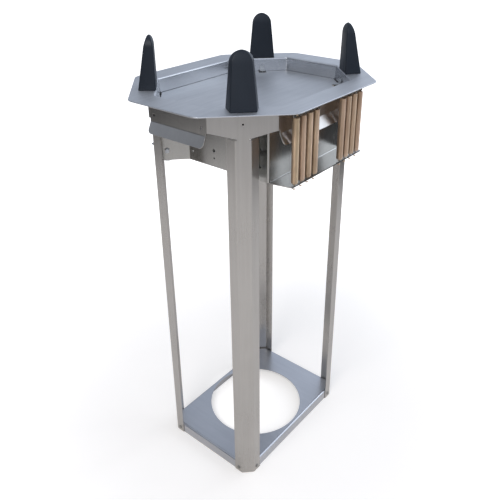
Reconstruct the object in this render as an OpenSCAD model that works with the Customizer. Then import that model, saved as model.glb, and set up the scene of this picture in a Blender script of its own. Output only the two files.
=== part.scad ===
// Drop-in plate dispenser: an octagonal deck on four bent sheet posts, with a sprung lifting platform.
// Millimetres, +Z up, origin on the floor under the middle. Left is -X, front is -Y.

/* [Deck] */
// Height of the deck's top above the floor
cart_h = 724; // [650:1:820]
// Width of the deck's rim beyond the throat at the ends
rim_end = 46.5; // [42:0.5:58]
// Width of the deck's rim beyond the throat at the sides
rim_side = 43; // [40:0.5:56]
// How far each corner of the deck is cut back
deck_cut = 101.5; // [95:0.5:110]
// Radius that softens each corner of the deck's outline
deck_r = 22; // [8:1:30]
// Thickness of the deck sheet
deck_t = 2; // [1.5:0.1:3]
// Length of the plate throat along X, inside its walls
throat_l = 328; // [300:1:360]
// Width of the plate throat along Y, inside its walls
throat_w = 252; // [230:1:280]
// How far each corner of the throat is cut back
throat_cut = 72; // [68:1:80]
// Depth of the throat's turned-down walls below the deck's top
throat_depth = 36; // [30:1:37]

/* [Guide posts] */
// Height of a plate guide above the deck
guide_h = 81; // [60:1:110]
// Half of a guide's width at its foot
guide_foot_half = 24; // [22:0.5:26]
// Radius of a guide's round top
guide_top_r = 18; // [15:0.5:20]
// Thickness of a guide at its foot
guide_foot_t = 28; // [24:0.5:30]
// Thickness of a guide's flat core at its top
guide_top_t = 4; // [3:0.5:8]
// How far a guide's top leans in from its foot's middle
guide_top_lean = 8; // [0:0.5:9.5]

/* [Posts] */
// How far the posts stand in from the throat's ends
post_inset_end = 14; // [13:0.5:15]
// How far the posts stand in from the throat's sides
post_inset_side = 21; // [19:0.5:21.5]
// How far the posts' webs cut the corners
post_cut = 16.5; // [15:0.5:19]
// Width of a post's side flanges
flange_w = 17; // [12:0.5:20]
// Thickness of the posts, the base pan, the skirts and the brackets
sheet_t = 1.5; // [1:0.1:2]
// Half of the width of a post's gusset
gusset_half = 51; // [47:0.5:53]
// Height of a gusset at its ends
gusset_end_h = 31.5; // [28:0.5:36]
// Height of a gusset where it meets the leg
gusset_mid_h = 42; // [38:0.5:48]

/* [Base pan] */
// Height of the base pan
pan_h = 21; // [18:0.5:30]
// Least width of the base pan beside its hole
pan_rim_w = 9; // [6:0.5:30]

/* [Skirts] */
// Height of a skirt's upright panel
skirt_h = 36.5; // [32:0.5:39]
// Width of a skirt's turned-out lip
lip_w = 19; // [12:0.5:22]
// Angle of the lip from upright
lip_angle = 27; // [15:1:30]

/* [Platform] */
// Depth of the platform's top below the deck's top at rest
platform_drop = 24; // [22:1:26]
// Thickness of the platform
platform_t = 2; // [1.5:0.1:3]
// Gap between the platform and the throat's walls
platform_gap = 2; // [1:0.1:3]
// Height of the brackets under the platform
bracket_h = 98; // [96:1:110]
// How far the end brackets stand in from the posts' ends
end_inset = 49; // [47:0.5:51]
// How far the spring brackets stand out from the posts' sides
spring_outset = 6; // [4:0.5:9]

/* [Rollers] */
// Diameter of a guide roller
roller_d = 38; // [34:0.5:40]
// Width of a guide roller
roller_w = 9; // [7:0.5:9.5]
// Diameter of the roller bolts
bolt_d = 5; // [4:0.5:6]

/* [Springs] */
// Outside diameter of a spring
spring_od = 10; // [8.5:0.1:11]
// Thickness of the spring wire
wire_d = 2.2; // [1.6:0.1:2.6]
// Curls of each spring
spring_curls = 5; // [3:0.25:5.25]
// Distance from one spring to the next
spring_pitch = 17; // [14:0.5:19]
// Distance of a group of springs from the end brackets
spring_group_inset = 38.5; // [36:0.5:44]
// Distance of the springs' axes from the side skirts
spring_skirt_gap = 17.2; // [15.5:0.1:20]

/* [Hidden] */
$fn = 48;

// One overrun for all cuts
over = 1;
// Clearance between pieces that don't touch
clear = 0.3;
// Clearance round a rivet's or a screw's shank
shank_clear = 0.05;
diag = sqrt(2);

// Heights that follow from the deck
deck_under = cart_h - deck_t;
platform_z = cart_h - platform_drop;
platform_under = platform_z - platform_t;
bracket_z = platform_under - bracket_h;
leg_slit = 2;
leg_top = deck_under - gusset_mid_h - leg_slit;

// Deck and posts are placed from the throat
deck_l = throat_l + 2 * rim_end;
deck_w = throat_w + 2 * rim_side;
post_l = throat_l - 2 * post_inset_end;
post_w = throat_w - 2 * post_inset_side;
pan_hole_d = post_w - 2 * pan_rim_w;

// Middle of a post's web, on its outer face, and how far it stands out along the corner's diagonal
post_x = post_l / 2 - post_cut / 2;
post_y = post_w / 2 - post_cut / 2;
web_out = (post_x + post_y) / diag;
web_in = web_out - sheet_t;
throat_out = (throat_l / 2 + throat_w / 2 - throat_cut) / diag;
throat_wall_out = throat_out + deck_t;
deck_arc_steps = 6;
// What a 45 degree bend takes from the inner side of a sheet
bend_share = tan(22.5);

// Skirts hang between the gussets' turned ends
gusset_lip = 3;
skirt_x = post_x + gusset_half / diag;
skirt_y = post_y + gusset_half / diag;
skirt_left_half = skirt_y - gusset_half * diag - gusset_lip - clear;
skirt_front_half = skirt_x - gusset_half * diag - gusset_lip - clear;
skirt_hole_d = 4.5;
skirt_hole_drop = 25;
skirt_hole_inset = 8;
lip_corner_r = 7;
lip_arc_steps = 6;

// Small hole in each gusset
gusset_hole_d = 3;
gusset_hole_drop = 20;

// Guide posts and their screws
guide_mid = throat_wall_out + guide_foot_t / 2 + clear;
guide_foot_r = 3;
guide_foot_h = 6;
guide_top_round = 3;
guide_fn = 32;
guide_screw_d = 4;
guide_screw_len = 14;
guide_screw_head_d = 7;
guide_screw_head_h = 2.4;
guide_screw_v = 11;
guide_screw_gap = 4;
guide_screw_out = web_out + guide_screw_head_d / 2 + guide_screw_gap;

// Base rivets hold the posts' flanges to the pan
rivet_d = 4;
rivet_head_d = 6.5;
rivet_head_h = 1.2;
rivet_tail_d = 5.5;
rivet_z = 9;
rivet_inset = flange_w / 2;

// Carriage
end_x = post_l / 2 - end_inset;
spring_y = post_w / 2 + spring_outset;
spring_group_x = end_x - spring_group_inset;
spring_axis_y = skirt_y + spring_skirt_gap;
fold_y = post_y - (post_x - end_x);
fin_post_gap = 7;
fin_end = web_in - fin_post_gap;
fin_top_gap = 4;
tab_wall_gap = 5;
tab_w = 6;
tab_out = throat_out - tab_wall_gap;
tab_in = tab_out - tab_w;
tab_rise = 2;
notch_w = 14;
notch_clear = 2.5;
notch_in = tab_in - notch_clear;
top_flange_w = 15;
top_flange_end_inset = 10;
top_flange_front_inset = 19;
return_w = 31;
return_y = spring_y - return_w;
return_corner_r = 12;
return_slot_w = 7;
return_slot_inset = 17;
return_slot_y = spring_y - return_slot_inset;
return_slot_low = 25;
return_slot_high = 72;
return_top_drop = 8;
panel_hole_d = 5.5;
panel_hole_z = 28;
panel_small_d = 3;
panel_small_z = 15;
panel_pair_d = 2.5;
panel_pair_inset = 8;
panel_pair_z = [16, 24];
shelf_overhang = 4;
shelf_edge_y = spring_axis_y + shelf_overhang;
shelf_rise = 4;
shelf_end_inset = 1.5;
hook_hole_clear = 0.5;
hook_hole_d = wire_d + 2 * hook_hole_clear;

// Stop clips under which the fins' tabs rest
clip_w = 8;
clip_t = 1.2;
clip_leg_h = 8;
clip_foot = 11;

// Rollers run on the inner faces of the posts' webs
roller_out = web_in - clear - roller_d / 2;
roller_side_gap = 0.4;
roller_side = sheet_t / 2 + roller_side_gap + roller_w / 2;
nut_from = roller_side + roller_w / 2 + roller_side_gap;
roller_low_z = 17;
roller_high_z = 63;
roller_hub_d = 15;
roller_hub_recess = 1.5;
roller_rim_w = 5;
roller_bore_clear = 0.05;
bolt_head_d = 8;
bolt_head_h = 3;
nut_af = 8;
nut_h = 4;
bolt_tail = 1.5;

// Springs hang from rails under the deck and pull on the spring brackets' shelves
rail_t = 2;
rail_leg_h = 12;
rail_foot_w = 12;
rail_overhang = 6;
rail_hole_d = 4;
rail_hole_drop = 8;
spring_top_z = deck_under - rail_leg_h - clear;
shelf_z_at_spring = bracket_z + shelf_rise * (spring_axis_y - spring_y) / (shelf_edge_y - spring_y);
spring_low_z = shelf_z_at_spring - wire_d;
spring_r = spring_od / 2 - wire_d / 2;
// Length of each straight wire end
spring_lead = wire_d;
spring_lead_low = spring_lead + sheet_t + wire_d + clear;
rings_per_curl = 8;
wire_sides = 6;
// Share of the wound part in which the wire runs in to the axis at each end
run_in_share = 0.075;

steel_color = [0.72, 0.73, 0.75];
deck_color = [0.68, 0.71, 0.76];
post_color = [0.66, 0.65, 0.63];
black_color = [0.09, 0.11, 0.14];
spring_color = [0.55, 0.42, 0.32];
nylon_color = [0.86, 0.86, 0.84];
zinc_color = [0.78, 0.79, 0.8];

// Outline of a rectangle with cut corners, anticlockwise
function cut_outline(l, w, cut) = [
    [l / 2, w / 2 - cut], [l / 2 - cut, w / 2], [-l / 2 + cut, w / 2], [-l / 2, w / 2 - cut],
    [-l / 2, -w / 2 + cut], [-l / 2 + cut, -w / 2], [l / 2 - cut, -w / 2], [l / 2, -w / 2 + cut]
];

// The same outline, grown outwards by t all round
function grown_outline(l, w, cut, t) = cut_outline(l + 2 * t, w + 2 * t, cut + 2 * t - diag * t);

// Outline of straight runs joined by arcs of radius r at every corner
function unit(v) = v / norm(v);
function rounded_outline(points, r, steps) = [
    for (i = [0 : len(points) - 1])
        let (
            here = points[i],
            back = unit(points[(i + len(points) - 1) % len(points)] - here),
            ahead = unit(points[(i + 1) % len(points)] - here),
            half = acos(back * ahead) / 2,
            centre = here + unit(back + ahead) * r / sin(half),
            start = here + back * r / tan(half) - centre,
            turn = 180 - 2 * half
        )
        for (s = [0 : steps])
            let (a = turn * s / steps)
            centre + [start[0] * cos(a) - start[1] * sin(a), start[0] * sin(a) + start[1] * cos(a)]
];

module flip_x(on) {
    if (on) mirror([1, 0, 0]) children();
    else children();
}

module flip_y(on) {
    if (on) mirror([0, 1, 0]) children();
    else children();
}

// Takes what is drawn for the rear right corner to any corner
module to_corner(right, rear) {
    flip_x(!right) flip_y(!rear) children();
}

// Frame of the rear right post: X along its web, Y outwards, with Y = 0 at the middle of the deck
module web_frame() {
    translate([post_x, post_y, 0]) rotate([0, 0, -45]) translate([0, -web_out, 0]) children();
}

// Stands an outline drawn in X and Z up, with its outer face at Y = 0
module upright(t) {
    rotate([90, 0, 0]) linear_extrude(height = t) children();
}

module deck_top() {
    color(deck_color) difference() {
        deck_sheet();
        for (right = [false, true], rear = [false, true], x = [-1, 1])
            to_corner(right, rear) web_frame()
                translate([x * guide_screw_v, guide_screw_out, deck_under - over])
                    cylinder(d = guide_screw_d + 2 * shank_clear, h = deck_t + 2 * over);
    }
}

module deck_sheet() {
    translate([0, 0, deck_under]) linear_extrude(height = deck_t) difference() {
        polygon(rounded_outline(cut_outline(deck_l, deck_w, deck_cut), deck_r, deck_arc_steps));
        polygon(cut_outline(throat_l, throat_w, throat_cut));
    }
    translate([0, 0, cart_h - throat_depth]) linear_extrude(height = throat_depth) difference() {
        polygon(grown_outline(throat_l, throat_w, throat_cut, deck_t));
        polygon(cut_outline(throat_l, throat_w, throat_cut));
    }
}

// A wedge with a round top, screwed to the deck from below
module guide(right, rear) {
    color(black_color) to_corner(right, rear) web_frame() difference() {
        hull() {
            for (x = [-1, 1], y = [-1, 1])
                translate([
                    x * (guide_foot_half - guide_foot_r),
                    guide_mid + y * (guide_foot_t / 2 - guide_foot_r),
                    cart_h
                ]) cylinder(r = guide_foot_r, h = guide_foot_h, $fn = guide_fn);
            translate([0, guide_mid - guide_top_lean, cart_h + guide_h - guide_top_r]) {
                rotate([90, 0, 0])
                    cylinder(r = guide_top_r - guide_top_round, h = guide_top_t + 2 * guide_top_round,
                        center = true, $fn = guide_fn);
                rotate([90, 0, 0])
                    cylinder(r = guide_top_r, h = guide_top_t, center = true, $fn = guide_fn);
            }
        }
        for (x = [-1, 1])
            translate([x * guide_screw_v, guide_screw_out, cart_h - over])
                cylinder(d = guide_screw_d + 2 * shank_clear, h = guide_screw_len + over);
    }
}

module guide_screws() {
    color(zinc_color)
        for (right = [false, true], rear = [false, true], x = [-1, 1])
            to_corner(right, rear) web_frame()
                translate([x * guide_screw_v, guide_screw_out, deck_under]) {
                    translate([0, 0, -guide_screw_head_h])
                        cylinder(d = guide_screw_head_d, h = guide_screw_head_h);
                    cylinder(d = guide_screw_d, h = deck_t + guide_screw_len - over);
                }
}

// Section of a leg: a web across the corner and two flanges bent back along the sides
module leg_section() {
    x = post_l / 2;
    y = post_w / 2;
    bend = sheet_t * bend_share;
    polygon([
        [x, y - post_cut - flange_w], [x, y - post_cut], [x - post_cut, y],
        [x - post_cut - flange_w, y], [x - post_cut - flange_w, y - sheet_t],
        [x - post_cut - bend, y - sheet_t], [x - sheet_t, y - post_cut - bend],
        [x - sheet_t, y - post_cut - flange_w]
    ]);
}

module post(right, rear) {
    neck = post_cut / diag - sheet_t;
    color(post_color) to_corner(right, rear) difference() {
        union() {
            linear_extrude(height = leg_top) leg_section();
            web_frame() translate([0, web_out, 0]) upright(sheet_t) polygon([
                [-gusset_half, deck_under], [-gusset_half, deck_under - gusset_end_h],
                [-neck, leg_top + leg_slit], [-neck, leg_top - over], [neck, leg_top - over],
                [neck, leg_top + leg_slit], [gusset_half, deck_under - gusset_end_h],
                [gusset_half, deck_under]
            ]);
            translate([skirt_x - sheet_t, skirt_left_half + clear, deck_under - gusset_end_h])
                cube([sheet_t, gusset_lip, gusset_end_h]);
            translate([skirt_front_half + clear, skirt_y - sheet_t, deck_under - gusset_end_h])
                cube([gusset_lip, sheet_t, gusset_end_h]);
        }
        web_frame() translate([0, web_out + over, deck_under - gusset_hole_drop])
            rotate([90, 0, 0]) cylinder(d = gusset_hole_d, h = sheet_t + 2 * over);
        rivet_holes();
    }
}

// Rivet places of the rear right post: through the flange along Y, then through the one along X
module rivet_places() {
    translate([post_l / 2, post_w / 2 - post_cut - rivet_inset, rivet_z]) rotate([0, -90, 0]) children();
    translate([post_l / 2 - post_cut - rivet_inset, post_w / 2, rivet_z]) rotate([90, 0, 0]) children();
}

module rivet_holes() {
    rivet_places() translate([0, 0, -over])
        cylinder(d = rivet_d + 2 * shank_clear, h = 2 * sheet_t + 2 * over);
}

module base_rivets() {
    color(zinc_color)
        for (right = [false, true], rear = [false, true])
            to_corner(right, rear) rivet_places() {
                translate([0, 0, -rivet_head_h]) cylinder(d = rivet_head_d, h = rivet_head_h);
                cylinder(d = rivet_d, h = 2 * sheet_t);
                translate([0, 0, 2 * sheet_t]) cylinder(d = rivet_tail_d, h = rivet_head_h);
            }
}

// Section of a skirt in Y and Z: an upright panel with its outer face at Y = 0, and a lip turned outwards
module skirt_section() {
    low = deck_under - skirt_h;
    out = [sin(lip_angle), -cos(lip_angle)];
    up = [cos(lip_angle), sin(lip_angle)];
    fold = [-sheet_t, low];
    polygon([
        [0, deck_under], [-sheet_t, deck_under], fold, fold + lip_w * out,
        fold + lip_w * out + sheet_t * up, [0, low + sheet_t * tan(lip_angle / 2)]
    ]);
}

// Corner that is cut from a lip to round it, at the +X end
module lip_corner(half) {
    polygon(concat(
        [[half + over, -lip_w - over], [half + over, -lip_w + lip_corner_r]],
        [for (s = [0 : lip_arc_steps])
            let (a = -90 * s / lip_arc_steps)
            [half - lip_corner_r, -lip_w + lip_corner_r] + lip_corner_r * [cos(a), sin(a)]],
        [[half - lip_corner_r, -lip_w - over]]
    ));
}

module skirt_sheet(half, holes) {
    difference() {
        translate([-half, 0, 0]) rotate([90, 0, 90]) linear_extrude(height = 2 * half) skirt_section();
        for (far = [false, true])
            flip_x(far) translate([0, -sheet_t, deck_under - skirt_h]) rotate([lip_angle, 0, 0])
                translate([0, sheet_t + over, 0]) upright(sheet_t + 2 * over) lip_corner(half);
        if (holes)
            for (x = [-1, 1])
                translate([x * (half - skirt_hole_inset), over, deck_under - skirt_hole_drop])
                    rotate([90, 0, 0]) cylinder(d = skirt_hole_d, h = sheet_t + 2 * over);
    }
}

module end_skirt(right) {
    color(post_color) flip_x(!right)
        translate([skirt_x, 0, 0]) rotate([0, 0, -90]) skirt_sheet(skirt_left_half, true);
}

module side_skirt(rear) {
    color(post_color) flip_y(!rear) translate([0, skirt_y, 0]) skirt_sheet(skirt_front_half, false);
}

module base_pan() {
    l = post_l - 2 * sheet_t;
    w = post_w - 2 * sheet_t;
    cut = post_cut - 2 * sheet_t + diag * sheet_t;
    color(deck_color) difference() {
        union() {
            translate([0, 0, pan_h - sheet_t]) linear_extrude(height = sheet_t)
                polygon(cut_outline(l, w, cut));
            for (x = [-1, 1])
                translate([x * (l / 2 - sheet_t / 2), 0, pan_h / 2])
                    cube([sheet_t, w - 2 * cut, pan_h], center = true);
            for (y = [-1, 1])
                translate([0, y * (w / 2 - sheet_t / 2), pan_h / 2])
                    cube([l - 2 * cut, sheet_t, pan_h], center = true);
        }
        translate([0, 0, -over]) cylinder(d = pan_hole_d, h = pan_h + 2 * over, $fn = 96);
        for (right = [false, true], rear = [false, true]) to_corner(right, rear) rivet_holes();
    }
}

// Angle under the deck whose upright leg the springs hook into
module spring_rail(right, rear) {
    half = 1.5 * spring_pitch + rail_overhang;
    color(steel_color) to_corner(right, rear)
        translate([spring_group_x, spring_axis_y + rail_t / 2, deck_under]) difference() {
            union() {
                translate([-half, -rail_t, -rail_leg_h]) cube([2 * half, rail_t, rail_leg_h]);
                translate([-half, -rail_foot_w, -rail_t]) cube([2 * half, rail_foot_w, rail_t]);
            }
            for (i = [-1.5 : 1.5])
                translate([i * spring_pitch, over, -rail_hole_drop]) rotate([90, 0, 0])
                    cylinder(d = rail_hole_d, h = rail_t + 2 * over);
        }
}

module stop_clips() {
    color(zinc_color)
        for (right = [false, true], rear = [false, true])
            to_corner(right, rear) web_frame()
                translate([-clip_w / 2, throat_out, platform_z + tab_rise + clear]) {
                    translate([0, -clip_t, 0]) cube([clip_w, clip_t, clip_leg_h]);
                    translate([0, -clip_foot, 0]) cube([clip_w, clip_foot, clip_t]);
                }
}

module platform() {
    l = throat_l - 2 * platform_gap;
    w = throat_w - 2 * platform_gap;
    color(deck_color) translate([0, 0, platform_under]) difference() {
        linear_extrude(height = platform_t) polygon(cut_outline(l, w, throat_cut));
        for (right = [false, true], rear = [false, true])
            to_corner(right, rear) web_frame()
                translate([-notch_w / 2, notch_in, -over])
                    cube([notch_w, throat_out - notch_in, platform_t + 2 * over]);
    }
}

// Upright sheet from the end bracket's fold to the rear right post, with a tab through the platform
module fin() {
    fold_out = (end_x + fold_y) / diag;
    fin_top = cart_h - throat_depth - fin_top_gap;
    web_frame() translate([-sheet_t / 2, 0, 0]) rotate([0, 0, 90]) upright(sheet_t) polygon([
        [fold_out - sheet_t / 2, bracket_z], [fin_end, bracket_z], [fin_end, fin_top],
        [tab_out, fin_top], [tab_out, platform_z + tab_rise], [tab_in, platform_z + tab_rise],
        [tab_in, platform_under], [fold_out - sheet_t / 2, platform_under]
    ]);
}

module fin_bolt_hole() {
    for (z = [roller_low_z, roller_high_z])
        web_frame() translate([-over, roller_out, bracket_z + z]) rotate([0, 90, 0])
            cylinder(d = bolt_d + 2 * shank_clear, h = 2 * over, $fn = 32);
}

module end_bracket(right) {
    color(steel_color) flip_x(!right) difference() {
        union() {
            translate([end_x - sheet_t, -fold_y, bracket_z]) cube([sheet_t, 2 * fold_y, bracket_h]);
            translate([end_x - top_flange_w, -fold_y + top_flange_end_inset, platform_under - sheet_t])
                cube([top_flange_w, 2 * (fold_y - top_flange_end_inset), sheet_t]);
            for (rear = [false, true]) flip_y(!rear) fin();
        }
        for (rear = [false, true]) flip_y(!rear) fin_bolt_hole();
        translate([end_x - sheet_t - over, 0, bracket_z]) rotate([0, 90, 0]) {
            translate([-panel_hole_z, 0, 0]) cylinder(d = panel_hole_d, h = sheet_t + 2 * over);
            translate([-panel_small_z, 0, 0]) cylinder(d = panel_small_d, h = sheet_t + 2 * over);
            for (y = [-1, 1], z = panel_pair_z)
                translate([-z, y * (fold_y - panel_pair_inset), 0]) cylinder(d = panel_pair_d, h = sheet_t + 2 * over);
        }
    }
}

module spring_bracket(rear) {
    half = end_x - shelf_end_inset;
    color(steel_color) flip_y(!rear) difference() {
        union() {
            translate([-end_x, spring_y - sheet_t, bracket_z]) cube([2 * end_x, sheet_t, bracket_h]);
            translate([-end_x + top_flange_front_inset, spring_y - top_flange_w, platform_under - sheet_t])
                cube([2 * (end_x - top_flange_front_inset), top_flange_w, sheet_t]);
            translate([-half, 0, 0]) rotate([90, 0, 90]) linear_extrude(height = 2 * half) polygon([
                [spring_y - sheet_t / 2, bracket_z], [shelf_edge_y, bracket_z + shelf_rise],
                [shelf_edge_y, bracket_z + shelf_rise + sheet_t], [spring_y - sheet_t / 2, bracket_z + sheet_t]
            ]);
            for (right = [false, true]) flip_x(!right) bracket_return();
        }
        for (right = [false, true], i = [-1.5 : 1.5])
            flip_x(!right) translate([spring_group_x + i * spring_pitch, spring_axis_y, bracket_z - over])
                cylinder(d = hook_hole_d, h = shelf_rise + sheet_t + 2 * over, $fn = 24);
    }
}

// Turned-in end of a spring bracket, with a slot and a round lower corner
module bracket_return() {
    top = bracket_h - return_top_drop;
    translate([end_x - sheet_t, 0, bracket_z]) rotate([0, 0, 90]) upright(sheet_t) difference() {
        union() {
            translate([return_y + return_corner_r, 0])
                square([spring_y - return_y - return_corner_r, top]);
            translate([return_y, return_corner_r])
                square([spring_y - return_y, top - return_corner_r]);
            translate([return_y + return_corner_r, return_corner_r]) circle(r = return_corner_r);
        }
        translate([return_slot_y, return_slot_low]) circle(d = return_slot_w);
        translate([return_slot_y, return_slot_high]) circle(d = return_slot_w);
        translate([return_slot_y - return_slot_w / 2, return_slot_low])
            square([return_slot_w, return_slot_high - return_slot_low]);
    }
}

// Axis of a roller on the rear right post: Z runs from the fin's face to the roller
module roller_frame(z) {
    web_frame() translate([0, roller_out, bracket_z + z]) rotate([0, -90, 0]) children();
}

module roller(right, rear, z) {
    color(nylon_color) to_corner(right, rear) roller_frame(z)
        translate([0, 0, roller_side - roller_w / 2]) difference() {
            cylinder(d = roller_d, h = roller_w, $fn = 72);
            for (face = [-over, roller_w - roller_hub_recess])
                translate([0, 0, face]) difference() {
                    cylinder(d = roller_d - 2 * roller_rim_w, h = roller_hub_recess + over);
                    translate([0, 0, -over])
                        cylinder(d = roller_hub_d, h = roller_hub_recess + 3 * over);
                }
            translate([0, 0, -over])
                cylinder(d = bolt_d + 2 * roller_bore_clear, h = roller_w + 2 * over, $fn = 32);
        }
}

module roller_bolts() {
    color(zinc_color)
        for (right = [false, true], rear = [false, true], z = [roller_low_z, roller_high_z])
            to_corner(right, rear) roller_frame(z) {
                translate([0, 0, -sheet_t / 2 - bolt_head_h])
                    cylinder(d = bolt_head_d, h = bolt_head_h, $fn = 6);
                translate([0, 0, -sheet_t / 2 - over])
                    cylinder(d = bolt_d, h = sheet_t / 2 + over + nut_from + nut_h + bolt_tail, $fn = 32);
            }
}

module roller_nuts() {
    color(zinc_color)
        for (right = [false, true], rear = [false, true], z = [roller_low_z, roller_high_z])
            to_corner(right, rear) roller_frame(z) translate([0, 0, nut_from]) difference() {
                cylinder(d = nut_af / cos(30), h = nut_h, $fn = 6);
                translate([0, 0, -over])
                    cylinder(d = bolt_d + 2 * shank_clear, h = nut_h + 2 * over, $fn = 32);
            }
}

// Points of a spring's wire, from its top end to its lower end, round the Z axis
function spring_path() =
    let (
        steps = spring_curls * rings_per_curl,
        high = spring_top_z - spring_lead,
        low = spring_low_z + spring_lead_low
    )
    concat(
        [[0, 0, spring_top_z]],
        [for (s = [0 : steps])
            let (
                share = s / steps,
                a = 360 * s / rings_per_curl,
                r = spring_r * min(1, share / run_in_share, (1 - share) / run_in_share)
            )
            [r * cos(a), r * sin(a), high + (low - high) * share]],
        [[0, 0, spring_low_z]]
    );

// Tube of n-sided rings along the points of a path
function path_angle(i, count) = 360 * max(0, min(i - 1, count - 3)) / rings_per_curl;
function ring(path, i, r, sides) =
    let (
        last = len(path) - 1,
        along = i == 0 || i == last ? [0, 0, -1] : unit(path[i + 1] - path[i - 1]),
        a = path_angle(i, len(path)),
        out = [cos(a), sin(a), 0],
        side = unit(out - along * (out * along)),
        third = cross(along, side)
    )
    [for (k = [0 : sides - 1])
        path[i] + r * (side * cos(360 * k / sides) + third * sin(360 * k / sides))];

module tube(path, d, sides) {
    rings = [for (i = [0 : len(path) - 1]) ring(path, i, d / 2, sides)];
    points = [for (r = rings) each r];
    last = (len(path) - 1) * sides;
    polyhedron(
        points = points,
        faces = concat(
            [[for (k = [sides - 1 : -1 : 0]) k]],
            [for (i = [0 : len(path) - 2], k = [0 : sides - 1])
                let (n = (k + 1) % sides)
                [i * sides + k, i * sides + n, (i + 1) * sides + n]],
            [for (i = [0 : len(path) - 2], k = [0 : sides - 1])
                let (n = (k + 1) % sides)
                [i * sides + k, (i + 1) * sides + n, (i + 1) * sides + k]],
            [[for (k = [0 : sides - 1]) last + k]]
        )
    );
}

// Least distance between points of the wire that lie at least half a curl apart, less its thickness
function least_gap(path, d) = min([
    for (i = [0 : len(path) - 1], j = [i + rings_per_curl / 2 : 1 : len(path) - 1])
        norm(path[i] - path[j])
]) - d;

// Springs are numbered from left to right
module spring(rear, number) {
    from_middle = number <= 4 ? number - 2.5 : number - 6.5;
    group = number <= 4 ? -1 : 1;
    y = rear ? spring_axis_y : -spring_axis_y;
    color(spring_color)
        translate([group * spring_group_x + from_middle * spring_pitch, y, 0])
            tube(spring_path(), wire_d, wire_sides);
}

echo(spring_least_gap = least_gap(spring_path(), wire_d));

deck_top();
guide(false, false);  // guide_front_left
guide(true, false);  // guide_front_right
guide(false, true);  // guide_rear_left
guide(true, true);  // guide_rear_right
guide_screws();
post(false, false);  // post_front_left
post(true, false);  // post_front_right
post(false, true);  // post_rear_left
post(true, true);  // post_rear_right
end_skirt(false);  // skirt_left
end_skirt(true);  // skirt_right
side_skirt(false);  // skirt_front
side_skirt(true);  // skirt_rear
base_pan();
base_rivets();
spring_rail(false, false);  // rail_front_left
spring_rail(true, false);  // rail_front_right
spring_rail(false, true);  // rail_rear_left
spring_rail(true, true);  // rail_rear_right
stop_clips();
platform();
end_bracket(false);  // end_bracket_left
end_bracket(true);  // end_bracket_right
spring_bracket(false);  // spring_bracket_front
spring_bracket(true);  // spring_bracket_rear
roller_bolts();
roller_nuts();
roller(false, false, roller_low_z);  // roller_front_left_lower
roller(false, false, roller_high_z);  // roller_front_left_upper
roller(true, false, roller_low_z);  // roller_front_right_lower
roller(true, false, roller_high_z);  // roller_front_right_upper
roller(false, true, roller_low_z);  // roller_rear_left_lower
roller(false, true, roller_high_z);  // roller_rear_left_upper
roller(true, true, roller_low_z);  // roller_rear_right_lower
roller(true, true, roller_high_z);  // roller_rear_right_upper
spring(false, 1);  // spring_front_1
spring(false, 2);  // spring_front_2
spring(false, 3);  // spring_front_3
spring(false, 4);  // spring_front_4
spring(false, 5);  // spring_front_5
spring(false, 6);  // spring_front_6
spring(false, 7);  // spring_front_7
spring(false, 8);  // spring_front_8
spring(true, 1);  // spring_rear_1
spring(true, 2);  // spring_rear_2
spring(true, 3);  // spring_rear_3
spring(true, 4);  // spring_rear_4
spring(true, 5);  // spring_rear_5
spring(true, 6);  // spring_rear_6
spring(true, 7);  // spring_rear_7
spring(true, 8);  // spring_rear_8
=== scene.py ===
# %% [markdown]
# A drop-in plate dispenser: a self-levelling well for plates that hangs in a counter.
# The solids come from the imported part. This lesson dresses them: every bent sheet is folded
# from its flat pattern, the springs are wound close, and each finish is made of nodes.

# %% Load the part
import math

import bmesh
import bpy
from mathutils import Matrix, Vector


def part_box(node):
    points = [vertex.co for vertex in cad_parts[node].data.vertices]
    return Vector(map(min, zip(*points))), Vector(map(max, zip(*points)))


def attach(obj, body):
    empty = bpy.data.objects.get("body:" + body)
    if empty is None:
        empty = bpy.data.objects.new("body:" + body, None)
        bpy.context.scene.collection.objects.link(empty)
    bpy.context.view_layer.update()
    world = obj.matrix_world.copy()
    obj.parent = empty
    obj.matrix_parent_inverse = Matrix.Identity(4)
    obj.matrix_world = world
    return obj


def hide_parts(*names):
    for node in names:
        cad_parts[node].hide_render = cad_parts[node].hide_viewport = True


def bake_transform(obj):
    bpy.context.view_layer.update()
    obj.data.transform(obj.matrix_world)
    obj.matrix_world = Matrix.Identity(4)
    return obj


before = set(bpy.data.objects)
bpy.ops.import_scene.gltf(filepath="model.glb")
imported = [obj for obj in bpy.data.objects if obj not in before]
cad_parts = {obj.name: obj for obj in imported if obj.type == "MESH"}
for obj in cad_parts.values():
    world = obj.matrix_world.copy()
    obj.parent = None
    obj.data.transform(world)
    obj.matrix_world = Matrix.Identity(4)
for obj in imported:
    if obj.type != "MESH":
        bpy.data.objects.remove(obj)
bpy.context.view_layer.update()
MM = 0.001

# %% [markdown]
# Sizes are written in millimetres, as on the maker's drawing, and are the same as the part's.
# They could all be measured on the solids, as the deck's are here, but a drawing's numbers are
# easier to read and to check against it. Only the sheet pieces need them. A post stands at the
# corner POST with its web across it, WEB from the middle; the throat is a length, a width and
# the size of the cut corners, THROAT_OUT from the middle; the end brackets stand END_AT from it.

# %% Sizes of the sheet pieces
SHEET = 1.5
RIM = 724.0
RIM_UNDER = RIM - 2.0
PLATFORM = RIM - 24.0
BRACKET_TOP = PLATFORM - 2.0
BRACKET_LOW = BRACKET_TOP - 98.0
POST, POST_CUT = (141.75, 96.75), 16.5
WEB = (POST[0] + POST[1]) / math.sqrt(2)
END_AT = 101.0
THROAT, THROAT_DEEP = (328.0, 252.0, 72.0), 36.0
THROAT_OUT = (THROAT[0] / 2 + THROAT[1] / 2 - THROAT[2]) / math.sqrt(2)
deck_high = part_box("deck_top")[1]
DECK_L, DECK_W = (2 * deck_high.x / MM, 2 * deck_high.y / MM)
print("rim", round(DECK_L, 1), "x", round(DECK_W, 1), "web at", round(WEB, 1))

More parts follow.
